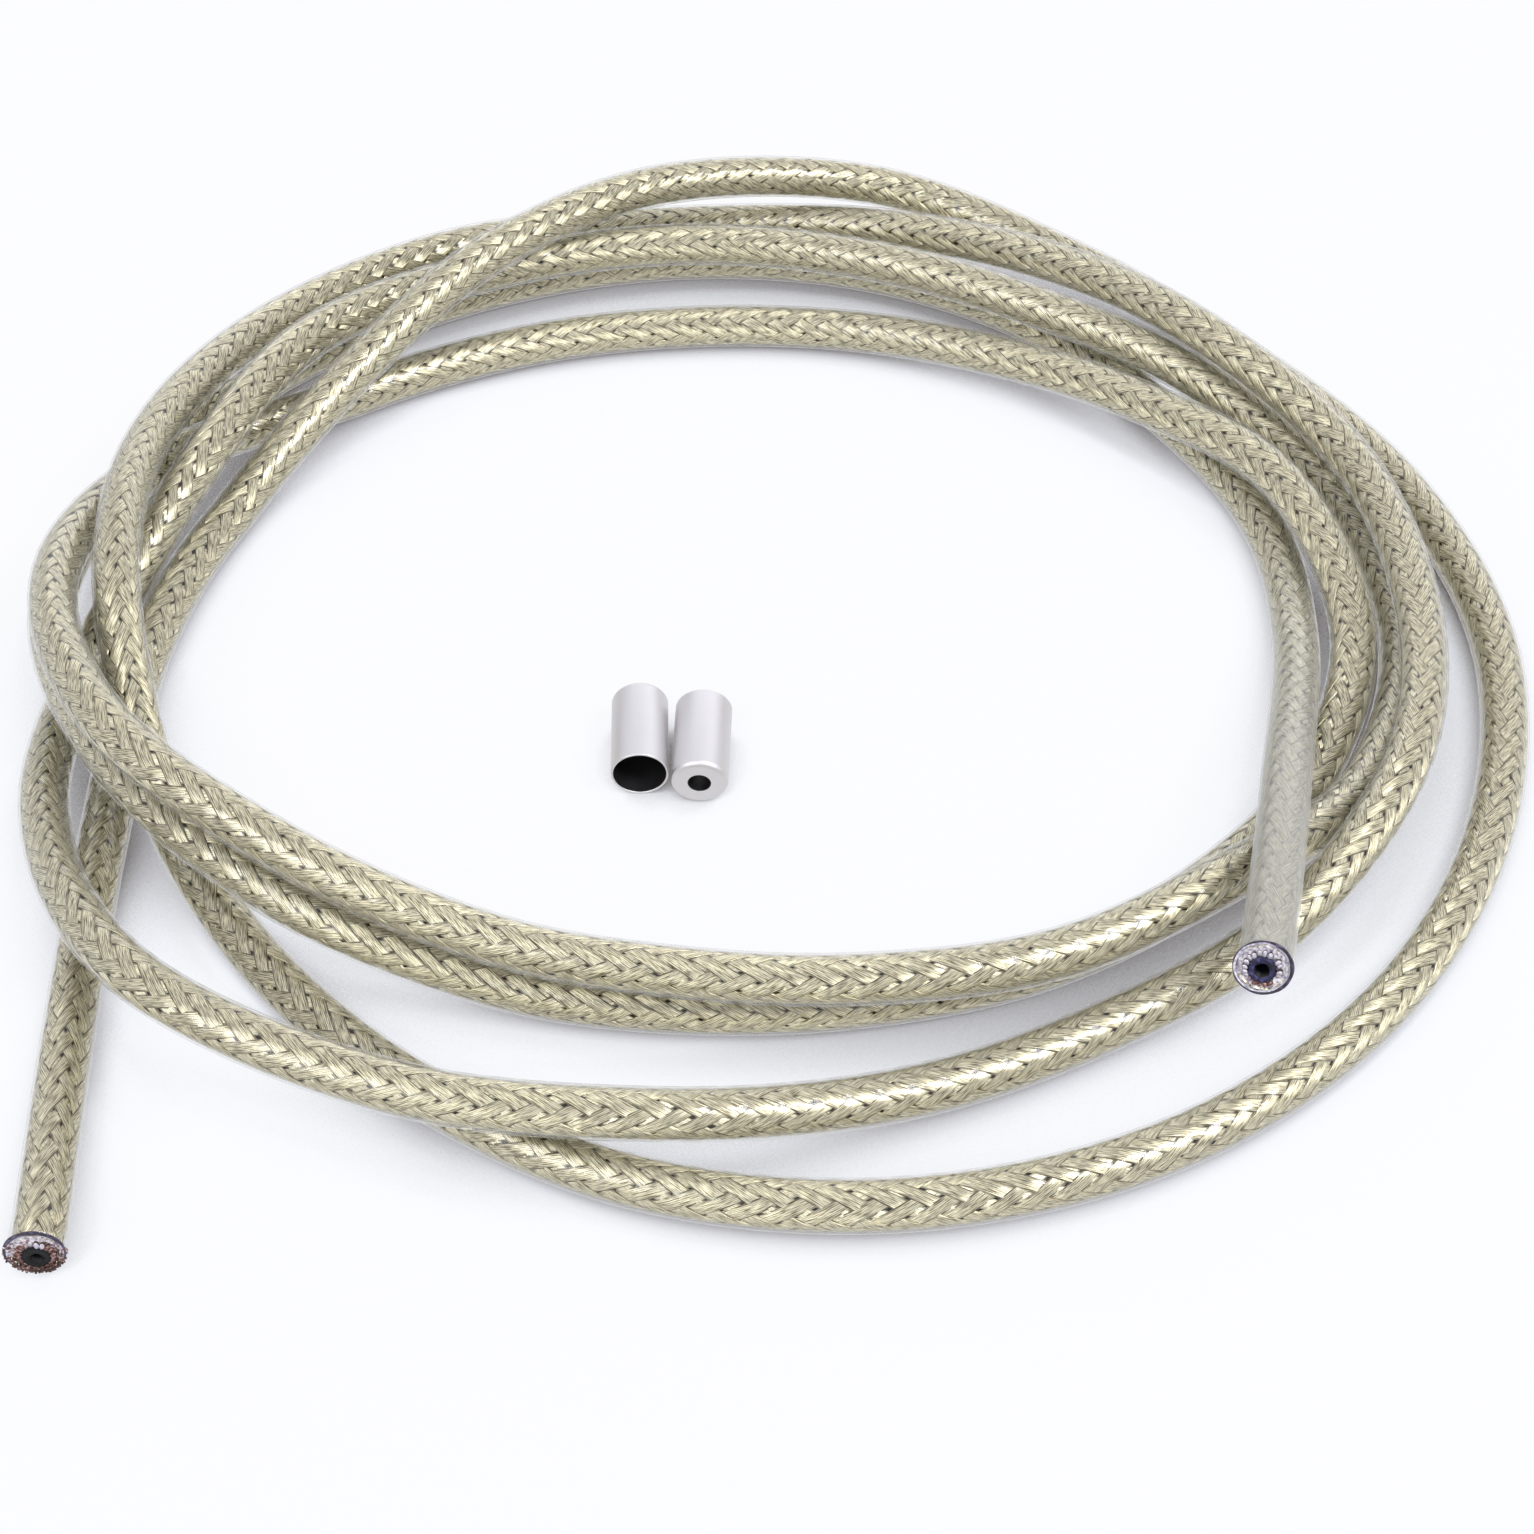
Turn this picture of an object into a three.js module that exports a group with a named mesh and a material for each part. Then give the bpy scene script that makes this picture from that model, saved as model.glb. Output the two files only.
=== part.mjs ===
// A bicycle shift cable housing, lying as a loose coil on a flat surface, with two loose end ferrules.
// The housing is four tubes one inside the other: a clear jacket, a braided sleeve, the ring of steel
// wires that carries the load, and the slick liner that the inner cable would run in.
// Millimetres, +Z up, the surface at z = 0, and the origin under the middle of the part.
import * as THREE from 'three';

// Housing, from the bore outwards
const linerBoreRadius = 0.65;
const linerWall = 0.4;
const wireRingWall = 0.4;
const braidWall = 0.17;
const jacketWall = 0.2;
const layerClearance = 0.06;
const housingSides = 8;
const linerRadius = linerBoreRadius + linerWall;
const wireRingBore = linerRadius + layerClearance;
const wireRingRadius = wireRingBore + wireRingWall;
const braidBore = wireRingRadius + layerClearance;
const braidRadius = braidBore + braidWall;
const jacketBore = braidRadius + layerClearance;
const housingRadius = jacketBore + jacketWall;

// Loose coil: 0 degrees is +X, and the turns run counter-clockwise seen from above
const coilCentreX = -0.43;
const coilCentreY = -0.82;
const angleStep = 20;

// Ferrules, whose socket takes the housing
const socketClearance = 0.15;
const ferruleWall = 0.2;
const ferruleLength = 8.4;
const ferruleEndWall = 1.5;
const ferruleHoleRadius = 0.92;
const ferruleEdgeRound = 0.45;
const ferruleSides = 32;
const edgeRoundSteps = 3;
const ferruleGap = 0.15;
const ferruleNearY = -15.6;
const rightFerruleNearer = 1.0;
const ferrulePairX = -8.4;
const ferruleSplay = THREE.MathUtils.degToRad(1.7);
const socketRadius = housingRadius + socketClearance;
const ferruleRadius = socketRadius + ferruleWall;

// Stretch that leads from the wire-cut end, raised on the coil, down to the first turn: x, y, z
const leadIn = [
  [35.2, -42.5, 11.5],
  [39.5, -23.5, 9.0],
];

// Centre line of each turn: its distance from the coil's middle, every angleStep degrees
const turnRadii = [
  [44.4, 46.4, 47.6, 51.0, 53.6, 55.5, 57.2, 59.4, 61.8, 60.6, 55.6, 49.2, 42.8, 39.8, 39.2, 40.6, 43.0, 46.4],
  [49.2, 47.4, 44.0, 43.2, 43.6, 44.5, 47.2, 51.6, 58.6, 59.5, 55.4, 47.8, 42.2, 39.8, 40.4, 42.8, 45.8, 50.6],
  [53.6, 54.0, 50.6, 47.8, 49.4, 52.0, 54.2, 55.4, 53.5, 57.4, 61.4, 62.2, 57.2, 52.2, 48.6, 48.0, 51.0, 53.4],
  [54.2, 54.6, 52.2, 54.0, 58.2, 61.0, 61.4, 60.4, 57.8, 54.4, 52.6, 52.2, 53.3, 55.6, 57.4, 59.0, 60.2, 61.0],
  [61.5, 60.6, 59.4, 60.6, 62.4, 57.6, 51.6, 49.0, 51.0, 53.0],
];

// and its height over the surface at the same places, where turns climb over each other
const turnHeights = [
  [2.8, 2.0, 2.0, 2.0, 2.0, 2.0, 2.0, 2.0, 2.2, 6.2, 8.4, 6.4, 2.6, 2.0, 2.0, 2.0, 2.0, 2.0],
  [3.8, 6.6, 5.4, 3.4, 2.2, 2.0, 2.0, 2.0, 4.8, 10.3, 12.7, 10.4, 7.0, 6.3, 6.3, 6.0, 6.0, 3.0],
  [2.0, 2.4, 5.2, 6.7, 6.5, 6.3, 6.4, 7.5, 7.3, 2.3, 4.5, 8.2, 6.9, 5.6, 2.8, 2.4, 4.4, 6.7],
  [6.4, 6.8, 9.0, 7.4, 4.0, 2.2, 4.6, 6.8, 9.6, 10.8, 4.1, 2.0, 2.0, 2.0, 2.0, 2.0, 2.0, 2.0],
  [2.0, 2.0, 2.0, 3.2, 6.0, 9.6, 10.6, 7.4, 2.2, 2.0],
];

// Stretch that leaves the last turn for the frayed end, flat on the surface: x, y, z
const leadOut = [
  [-53.3, -20.0, 2.0],
  [-52.5, -41.0, 2.0],
  [-50.8, -61.5, 3.2],
];

// Centre line of the housing
class HousingRoute extends THREE.CatmullRomCurve3 {
  // Steps fall on the chosen points, so that every layer shares the same cross-sections
  getPointAt(u, target) {
    return this.getPoint(u, target);
  }

  getTangentAt(u, target) {
    return this.getTangent(u, target);
  }

  // The housing rests on the surface and never dips into it
  getPoint(t, target = new THREE.Vector3()) {
    const point = super.getPoint(t, target);
    point.z = Math.max(point.z, housingRadius);
    return point;
  }
}

function coilPoints() {
  const points = [];
  turnRadii.forEach((radii, turn) => {
    radii.forEach((radius, step) => {
      const angle = THREE.MathUtils.degToRad(step * angleStep);
      const height = turnHeights[turn][step];
      points.push(new THREE.Vector3(radius * Math.cos(angle), radius * Math.sin(angle), height));
    });
  });
  return points;
}

function housingRoute() {
  const asVector = ([x, y, z]) => new THREE.Vector3(x, y, z);
  const points = [...leadIn.map(asVector), ...coilPoints(), ...leadOut.map(asVector)];
  return new HousingRoute(points, false, 'catmullrom', 0.5);
}

// Ring-shaped section of one layer
function layerSection(outerRadius, innerRadius) {
  const corner = (radius, index) => {
    const angle = (index * 2 * Math.PI) / housingSides;
    return new THREE.Vector2(radius * Math.cos(angle), radius * Math.sin(angle));
  };
  const ring = (radius) => Array.from({ length: housingSides }, (_, index) => corner(radius, index));
  const section = new THREE.Shape(ring(outerRadius));
  section.holes.push(new THREE.Path(ring(innerRadius).reverse()));
  return section;
}

function layerMesh(name, route, outerRadius, innerRadius, material) {
  const geometry = new THREE.ExtrudeGeometry(layerSection(outerRadius, innerRadius), {
    steps: route.points.length - 1,
    extrudePath: route,
    curveSegments: 1,
  });
  const mesh = new THREE.Mesh(geometry, material);
  mesh.name = name;
  return mesh;
}

// Layers from the outside in, each seated in the one before it with a small clearance
function housing() {
  const route = housingRoute();

  const clearJacket = new THREE.MeshStandardMaterial({ color: '#d9d2a8', roughness: 0.15, metalness: 0 });
  const goldBraid = new THREE.MeshStandardMaterial({ color: '#b5a86b', roughness: 0.5, metalness: 0 });
  const wireSteel = new THREE.MeshStandardMaterial({ color: '#b4b6ba', roughness: 0.35, metalness: 1 });
  const darkLiner = new THREE.MeshStandardMaterial({ color: '#2c3140', roughness: 0.5, metalness: 0 });

  const group = new THREE.Group();
  group.add(layerMesh('outer_jacket', route, housingRadius, jacketBore, clearJacket));
  group.add(layerMesh('braided_sleeve', route, braidRadius, braidBore, goldBraid));
  group.add(layerMesh('steel_wire_ring', route, wireRingRadius, wireRingBore, wireSteel));
  group.add(layerMesh('inner_liner', route, linerRadius, linerBoreRadius, darkLiner));
  return group;
}

// Deep-drawn cap: a thin tube that the housing's end pushes into, closed but for the inner cable's hole.
// Its profile runs from the hole round the outside to the open mouth and back along the socket.
function ferruleGeometry() {
  const profile = new THREE.Path();
  profile.moveTo(ferruleHoleRadius, 0);
  profile.lineTo(ferruleRadius - ferruleEdgeRound, 0);
  profile.absarc(ferruleRadius - ferruleEdgeRound, ferruleEdgeRound, ferruleEdgeRound, -Math.PI / 2, 0, false);
  profile.lineTo(ferruleRadius, ferruleLength);
  profile.lineTo(socketRadius, ferruleLength);
  profile.lineTo(socketRadius, ferruleEndWall);
  profile.lineTo(ferruleHoleRadius, ferruleEndWall);
  profile.lineTo(ferruleHoleRadius, 0);
  return new THREE.LatheGeometry(profile.getPoints(edgeRoundSteps), ferruleSides);
}

// A ferrule lies on the surface and points away from the front. Its mouth is at the front end or the far end,
// and side is -1 for the left one of the pair and 1 for the right one.
function ferrule(name, side, mouthTowardsFront) {
  const nickel = new THREE.MeshStandardMaterial({ color: '#c9cacc', roughness: 0.2, metalness: 1 });
  const mesh = new THREE.Mesh(ferruleGeometry(), nickel);
  mesh.name = name;
  mesh.position.y = -ferruleLength / 2;

  const body = new THREE.Group();
  body.add(mesh);
  body.rotation.z = mouthTowardsFront ? Math.PI : 0;
  body.position.y = ferruleLength / 2;

  const seat = new THREE.Group();
  seat.add(body);
  const nearY = side > 0 ? ferruleNearY - rightFerruleNearer : ferruleNearY;
  seat.position.set(ferrulePairX + side * (ferruleRadius + ferruleGap / 2), nearY, ferruleRadius);
  seat.rotation.z = -side * ferruleSplay;
  return seat;
}

const part = new THREE.Group();
part.name = 'shift_cable_housing';
part.add(housing());
part.add(ferrule('ferrule_left', -1, true));
part.add(ferrule('ferrule_right', 1, false));
part.position.set(coilCentreX, coilCentreY, 0);

export default part;
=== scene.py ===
# %% [markdown]
# # A braided shift cable housing
# Shift cable housing is the flexible outer of a bicycle's shift cable. A ring of steel wires lies along
# a slick liner, a braided sleeve holds the wires together, and a clear jacket covers the braid.
# This lesson models 1.6 m of it in a loose coil, cut at both ends, with two loose ferrules inside the coil.
# Every layer is modelled straight at its real size and is then laid along one route, as the real one is.

# %% Load the frame
import math

import bmesh
import bpy
import numpy as np
from mathutils import Matrix, Vector


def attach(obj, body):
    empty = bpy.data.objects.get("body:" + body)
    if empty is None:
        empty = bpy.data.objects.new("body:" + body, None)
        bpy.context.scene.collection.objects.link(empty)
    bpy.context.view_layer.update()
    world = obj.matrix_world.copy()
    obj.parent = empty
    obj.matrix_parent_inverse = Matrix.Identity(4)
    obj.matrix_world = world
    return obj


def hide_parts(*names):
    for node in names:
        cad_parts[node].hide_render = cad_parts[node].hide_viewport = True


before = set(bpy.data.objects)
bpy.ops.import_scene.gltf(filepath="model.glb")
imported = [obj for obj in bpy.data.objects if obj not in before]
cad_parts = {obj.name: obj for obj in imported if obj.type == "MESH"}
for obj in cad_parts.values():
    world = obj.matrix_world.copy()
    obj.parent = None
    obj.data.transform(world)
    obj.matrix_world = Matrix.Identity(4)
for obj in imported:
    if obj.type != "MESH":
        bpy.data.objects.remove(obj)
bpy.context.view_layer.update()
MM = 0.001
print("frame holds", sorted(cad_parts))

# %% [markdown]
# ## The camera
# The camera stands in front of the coil and looks down at it. Its height, pitch and lens were worked out
# from where the strands rest on the floor and how wide a 4 mm strand looks near and far, so a point of
# the model lands on the same point of the picture. Shift and depth of field stay off.

# %% Set up the camera
COIL_CENTRE = np.array([-0.43, -0.82, 0.0]) * MM
CAMERA_FROM_COIL = np.array([-0.5, -159.0, 157.0]) * MM
CAMERA_PITCH = math.radians(47)
FOCAL_PIXELS = 2600
FRAME_PIXELS = 1534
SENSOR_WIDTH = 36

camera_data = bpy.data.cameras.new("camera")
camera_data.sensor_width = SENSOR_WIDTH
camera_data.lens = SENSOR_WIDTH * FOCAL_PIXELS / FRAME_PIXELS
camera_data.clip_start = 0.01
camera = bpy.data.objects.new("camera", camera_data)
camera.location = Vector(COIL_CENTRE + CAMERA_FROM_COIL)
camera.rotation_euler = (math.pi / 2 - CAMERA_PITCH, 0, 0)
bpy.context.scene.collection.objects.link(camera)
bpy.context.scene.camera = camera
print("camera at", [round(x, 3) for x in camera.location], "lens", round(camera_data.lens, 1), "mm")

# %% [markdown]
# ## The route
# The housing is a fixed length of something springy, so its route comes before its shape. The points
# below are its centre line: for each turn the distance from the coil's middle and the height over the
# floor, every 20 degrees, because loose turns wander and climb over each other. A turn takes two rows, the
# first from the right round the back, the second from the left round the front. A curve editor could draw
# this too, but numbers in rows show at a glance which turn lies under which.

# %% Points of the route, in metres
ANGLE_STEP = 20
HOUSING_RADIUS = 2.0 * MM

LEAD_IN = np.array([[35.2, -42.5, 11.5], [39.5, -23.5, 9.0]]) * MM
TURN_RADII = [
    [44.4, 46.4, 47.6, 51.0, 53.6, 55.5, 57.2, 59.4, 61.8,
     60.6, 55.6, 49.2, 42.8, 39.8, 39.2, 40.6, 43.0, 46.4],
    [49.2, 47.4, 44.0, 43.2, 43.6, 44.5, 47.2, 51.6, 58.6,
     59.5, 55.4, 47.8, 42.2, 39.8, 40.4, 42.8, 45.8, 50.6],
    [53.6, 54.0, 50.6, 47.8, 49.4, 52.0, 54.2, 55.4, 53.5,
     57.4, 61.4, 62.2, 57.2, 52.2, 48.6, 48.0, 51.0, 53.4],
    [54.2, 54.6, 52.2, 54.0, 58.2, 61.0, 61.4, 60.4, 57.8,
     54.4, 52.6, 52.2, 53.3, 55.6, 57.4, 59.0, 60.2, 61.0],
    [61.5, 60.6, 59.4, 60.6, 62.4, 57.6, 51.6, 49.0, 51.0, 53.0],
]
TURN_HEIGHTS = [
    [2.8, 2.0, 2.0, 2.0, 2.0, 2.0, 2.0, 2.0, 2.2,
     6.2, 8.4, 6.4, 2.6, 2.0, 2.0, 2.0, 2.0, 2.0],
    [3.8, 6.6, 5.4, 3.4, 2.2, 2.0, 2.0, 2.0, 4.8,
     10.3, 12.7, 10.4, 7.0, 6.3, 6.3, 6.0, 6.0, 3.0],
    [2.0, 2.4, 5.2, 6.7, 6.5, 6.3, 6.4, 7.5, 7.3,
     2.3, 4.5, 8.2, 6.9, 5.6, 2.8, 2.4, 4.4, 6.7],
    [6.4, 6.8, 9.0, 7.4, 4.0, 2.2, 4.6, 6.8, 9.6,
     10.8, 4.1, 2.0, 2.0, 2.0, 2.0, 2.0, 2.0, 2.0],
    [2.0, 2.0, 2.0, 3.2, 6.0, 9.6, 10.6, 7.4, 2.2, 2.0],
]
LEAD_OUT = np.array([[-53.3, -20.0, 2.0], [-52.5, -41.0, 2.0], [-50.8, -61.5, 3.2]]) * MM

turn_points = []
for radii, heights in zip(TURN_RADII, TURN_HEIGHTS):
    for step, (radius, height) in enumerate(zip(radii, heights)):
        angle = math.radians(step * ANGLE_STEP)
        turn_points.append([radius * math.cos(angle), radius * math.sin(angle), height])
route_points = np.vstack([LEAD_IN, np.array(turn_points) * MM, LEAD_OUT]) + COIL_CENTRE
print(len(route_points), "points on the route")

# %% [markdown]
# A Catmull-Rom curve passes through every point, and what dips below the floor is lifted onto it. The
# curve is sampled in short steps, the length along it is measured, and each sample gets a frame: a tangent
# and two directions across it. The frame is carried along without turning about the tangent, so that
# nothing laid on it is twisted.

# %% Smooth the route and carry a frame along it
SAMPLES_PER_SPAN = 40


def catmull_rom(points, per_span):
    before = 2 * points[0] - points[1]
    after = 2 * points[-1] - points[-2]
    padded = np.vstack([before, points, after])
    t = np.linspace(0, 1, per_span, endpoint=False)[:, None]
    spans = []
    for p0, p1, p2, p3 in zip(padded, padded[1:], padded[2:], padded[3:]):
        cubic = 3 * p1 - p0 - 3 * p2 + p3
        square = 2 * p0 - 5 * p1 + 4 * p2 - p3
        spans.append((2 * p1 + (p2 - p0) * t + square * t**2 + cubic * t**3) / 2)
    return np.vstack(spans + [points[-1:]])


centre_line = catmull_rom(route_points, SAMPLES_PER_SPAN)
centre_line[:, 2] = np.maximum(centre_line[:, 2], HOUSING_RADIUS)
step_lengths = np.linalg.norm(np.diff(centre_line, axis=0), axis=1)
distance = np.concatenate([[0], np.cumsum(step_lengths)])
housing_length = distance[-1]

tangents = np.gradient(centre_line, distance, axis=0)
tangents /= np.linalg.norm(tangents, axis=1)[:, None]
sideways = np.zeros_like(tangents)
sideways[0] = np.cross(tangents[0], [0, 0, 1])
for i in range(len(tangents)):
    carried = sideways[max(i - 1, 0)]
    carried = carried - tangents[i] * np.dot(carried, tangents[i])
    sideways[i] = carried / np.linalg.norm(carried)
upwards = np.cross(sideways, tangents)
print("housing is", round(housing_length, 4), "m long")

# %% [markdown]
# ## Bending a straight model
# Everything on the housing is modelled straight along X, with Y and Z across it, and this function lays
# it on the route. It does what a Curve modifier does, but the result is a plain mesh with its place in
# it, and the frame above decides the twist.

# %% Lay straight points along the route
def along_route(values, x):
    return np.stack([np.interp(x, distance, values[:, axis]) for axis in range(3)], axis=1)


def bend(straight):
    x = straight[:, 0]
    clamped = np.clip(x, 0, housing_length)
    tangent = along_route(tangents, clamped)
    place = along_route(centre_line, clamped) + tangent * (x - clamped)[:, None]
    place += along_route(sideways, clamped) * straight[:, 1:2]
    place += along_route(upwards, clamped) * straight[:, 2:3]
    return place


print("one metre along the route is at", bend(np.array([[1.0, 0, 0]])).round(3)[0])

# %% [markdown]
# ## The cut ends
# The housing was cut with a nipper, and neither cut is square: both faces look a little upwards, and the
# nipper pushed them to the left. It also spread the jacket slightly, squeezed the wires together and
# pushed the bore down. A small function moves what lies close to an end, so that all layers follow the
# same cut. At the far end the carried frame has turned, so up and right are worked out there from its two
# directions.

# %% Shape the ends
CUT_REACH = 3.2 * MM
FLARE_REACH = 1.4 * MM
FIRST_CUT_TILT = math.tan(math.radians(13))
LAST_CUT_TILT = math.tan(math.radians(3))
FIRST_CUT_LONGER = 0.5 * MM
LAST_CUT_SHORTER = 0.25 * MM
FIRST_CUT_SHIFT = -0.24 * MM
LAST_CUT_SHIFT = -0.16 * MM
FIRST_FLARE = 0.07
LAST_FLARE = 0.05
FIRST_BORE_DROP = 0.35 * MM
LAST_BORE_DROP = 0.9 * MM
CUT_SQUEEZE = 0.2
LAST_UP = np.array([sideways[-1][2], upwards[-1][2]])
LAST_RIGHT = np.array([sideways[-1][0], upwards[-1][0]])


def fade(away, reach):
    return np.clip(1 - away / reach, 0, 1) ** 2


def shape_ends(straight):
    x, y, z = straight.T
    first = fade(x, CUT_REACH)
    last = fade(housing_length - x, CUT_REACH)
    last_height = y * LAST_UP[0] + z * LAST_UP[1]
    moved = x + first * (FIRST_CUT_TILT * z - FIRST_CUT_LONGER)
    moved = moved - last * (LAST_CUT_TILT * last_height + LAST_CUT_SHORTER)
    inside = np.clip(1 - (y**2 + z**2) / HOUSING_RADIUS**2, 0, 1)
    spread = 1 + FIRST_FLARE * fade(x, FLARE_REACH) + LAST_FLARE * fade(housing_length - x, FLARE_REACH)
    spread = spread - CUT_SQUEEZE * inside * (first + last)
    last_shift = LAST_RIGHT * LAST_CUT_SHIFT - inside[:, None] * LAST_UP * LAST_BORE_DROP
    y = y * spread + first * FIRST_CUT_SHIFT + last * last_shift[:, 0]
    z = z * spread - first * inside * FIRST_BORE_DROP + last * last_shift[:, 1]
    return np.stack([moved, y, z], axis=1)


print("cuts tilt", round(FIRST_CUT_TILT, 3), "and", round(LAST_CUT_TILT, 3))

# %% [markdown]
# ## Sheets rolled into tubes
# A wire, a ribbon, a liner and a jacket are all long tubes of one section. Each starts as a flat grid:
# its length runs along U and its section around V. A function places the grid's points, the seam is
# welded, and the open ends are filled. The same helper makes every layer, so the layers differ
# only in their section. The first and last few millimetres get shorter steps, for the shape of the cuts.

# %% Make a rolled grid
END_STEPS = 8
END_REACH = 4 * MM


def grid_mesh(steps, sides):
    sheet = bmesh.new()
    sheet.loops.layers.uv.new("UVMap")
    bmesh.ops.create_grid(sheet, x_segments=steps, y_segments=sides, size=0.5, calc_uvs=True)
    mesh = bpy.data.meshes.new("sheet")
    sheet.to_mesh(mesh)
    sheet.free()
    return mesh


def grid_coordinates(mesh, steps, sides):
    flat = np.empty(len(mesh.vertices) * 3)
    mesh.vertices.foreach_get("co", flat)
    flat = flat.reshape(-1, 3) + 0.5
    return np.rint(flat[:, 0] * steps) / steps, np.rint(flat[:, 1] * sides) / sides


def lengthwise(u, steps):
    marks = [0, END_STEPS, steps - END_STEPS, steps]
    return np.interp(u * steps, marks, [0, END_REACH, housing_length - END_REACH, housing_length])


def write_points(mesh, points):
    mesh.vertices.foreach_set("co", np.ascontiguousarray(points).ravel())


def write_uv(mesh, u, v):
    corners = np.empty(len(mesh.loops), dtype=np.int32)
    mesh.loops.foreach_get("vertex_index", corners)
    pairs = np.stack([u[corners], v[corners]], axis=1)
    mesh.uv_layers["UVMap"].data.foreach_set("uv", pairs.ravel())


print("grid helpers ready")


# %% Weld, cap and finish a piece
CUT_FACE = 1


def open_edges(work):
    return [edge for edge in work.edges if edge.is_boundary]


def weld_seams(work):
    # The two sides of a rolled sheet meet exactly, and nothing else lies that close
    bmesh.ops.remove_doubles(work, verts=[v for v in work.verts if v.is_boundary], dist=1e-6)


def mark_cut(faces):
    for face in faces:
        face.material_index = CUT_FACE


def at_first_cut(place):
    return (place - Vector(centre_line[0])).length < 2 * HOUSING_RADIUS


def finish_piece(work, name, smooth=True):
    for face in work.faces:
        face.smooth = smooth
    mesh = bpy.data.meshes.new(name)
    work.to_mesh(mesh)
    work.free()
    piece = bpy.data.objects.new(name, mesh)
    bpy.context.scene.collection.objects.link(piece)
    print(name, "has", sum(len(p.vertices) - 2 for p in mesh.polygons), "triangles")
    return piece


print("piece helpers ready")

# %% [markdown]
# ## Clear jacket
# The jacket is a tube of clear nylon with a thin wall. It is a real wall here, an outer and an inner
# surface joined by rings at the cuts, so its cut edge shows at both ends. This is the tube that stands
# for the cord's length and thickness.

# %% Model the jacket
JACKET_BORE = 1.83 * MM
JACKET_SIDES = 32
JACKET_STEPS = 800


def round_section(radius):
    return lambda v: (radius * np.cos(2 * math.pi * v), radius * np.sin(2 * math.pi * v))


def add_tube(work, section, steps, sides):
    sheet = grid_mesh(steps, sides)
    u, v = grid_coordinates(sheet, steps, sides)
    x = lengthwise(u, steps)
    y, z = section(v)
    write_points(sheet, bend(shape_ends(np.stack([x, y, z], axis=1))))
    write_uv(sheet, x / MM, v)
    work.from_mesh(sheet)
    bpy.data.meshes.remove(sheet)


def sleeve(name, outer, inner, steps, outer_sides, inner_sides):
    work = bmesh.new()
    add_tube(work, outer, steps, outer_sides)
    add_tube(work, inner, steps, inner_sides)
    weld_seams(work)
    rims = open_edges(work)
    first_rims = {edge for edge in rims if at_first_cut(edge.verts[0].co)}
    last_rims = [edge for edge in rims if edge not in first_rims]
    for cut_rims in (list(first_rims), last_rims):
        filled = bmesh.ops.triangle_fill(work, use_beauty=True, edges=cut_rims)["geom"]
        mark_cut(item for item in filled if isinstance(item, bmesh.types.BMFace))
    print(name, "is filled between", len(first_rims), "and", len(last_rims), "rim edges")
    bmesh.ops.recalc_face_normals(work, faces=work.faces)
    return finish_piece(work, name)


jacket = sleeve(
    "clear_jacket", round_section(HOUSING_RADIUS), round_section(JACKET_BORE),
    JACKET_STEPS, JACKET_SIDES, JACKET_SIDES,
)

# %% [markdown]
# ## Braided sleeve
# Sixteen flat ribbons of fine filaments run in helices, eight each way, and each goes over two of the
# others and under two. In the photo the small dark gaps repeat every 2.5 mm along the housing, and eight
# ribbons make one full turn in eight times that. The ribbons are real strips that rise and sink in
# their radius, so the weave catches light and shade by itself; bump adds the filaments, and the
# material adds painted shade and painted highlight.

# %% Model one hand of the braid
RIBBONS_EACH_WAY = 8
GAP_SPACING = 2.5 * MM
BRAID_LEAD = RIBBONS_EACH_WAY * GAP_SPACING
CROSSING_STEP = GAP_SPACING / 2
FLOAT_PERIOD = 4 * CROSSING_STEP
BRAID_MIDDLE = 1.72 * MM
BRAID_RISE = 0.05 * MM
RIBBON_THICKNESS = 0.055 * MM
RIBBON_WIDTH = 1.04 * MM
RIBBON_STEPS_PER_PERIOD = 6
RIBBON_WANDER = 0.05
WANDER_LENGTH = 37 * MM
WIDTH_CHANGE = 0.08
WIDTH_CHANGE_LENGTH = 23 * MM
RIBBON_ACROSS = np.array([-1.0, -0.62, 0.0, 0.62, 1.0, 0.0, -1.0])
RIBBON_LIFT = np.array([-0.35, 0.3, 0.45, 0.3, -0.35, -0.55, -0.35])

braid_angle = math.atan(2 * math.pi * BRAID_MIDDLE / BRAID_LEAD)
half_angle = RIBBON_WIDTH / math.cos(braid_angle) / 2 / BRAID_MIDDLE
ribbon_sides = len(RIBBON_ACROSS) - 1
ribbon_steps = round(housing_length / FLOAT_PERIOD * RIBBON_STEPS_PER_PERIOD)
rng = np.random.default_rng(7)


def float_centre(index, hand):
    # Where along the housing a ribbon first rides on top, in a weave of two over and two under
    crossings = 0.5 - 2 * index if hand > 0 else 2 * index - 2.5
    return crossings * CROSSING_STEP


def ribbon_points(u, v, index, hand):
    x = u * housing_length
    corner = np.rint(v * ribbon_sides).astype(int)
    wander = RIBBON_WANDER * np.sin(2 * math.pi * x / WANDER_LENGTH + rng.uniform(0, 6))
    width = 1 + WIDTH_CHANGE * np.sin(2 * math.pi * x / WIDTH_CHANGE_LENGTH + rng.uniform(0, 6))
    start = 2 * math.pi * index / RIBBONS_EACH_WAY
    angle = start + hand * 2 * math.pi * x / BRAID_LEAD + wander
    angle = angle + half_angle * width * RIBBON_ACROSS[corner]
    wave = np.cos(2 * math.pi * (x - float_centre(index, hand)) / FLOAT_PERIOD)
    radius = BRAID_MIDDLE + BRAID_RISE * wave + RIBBON_THICKNESS * RIBBON_LIFT[corner]
    return np.stack([x, radius * np.cos(angle), radius * np.sin(angle)], axis=1), corner


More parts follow.
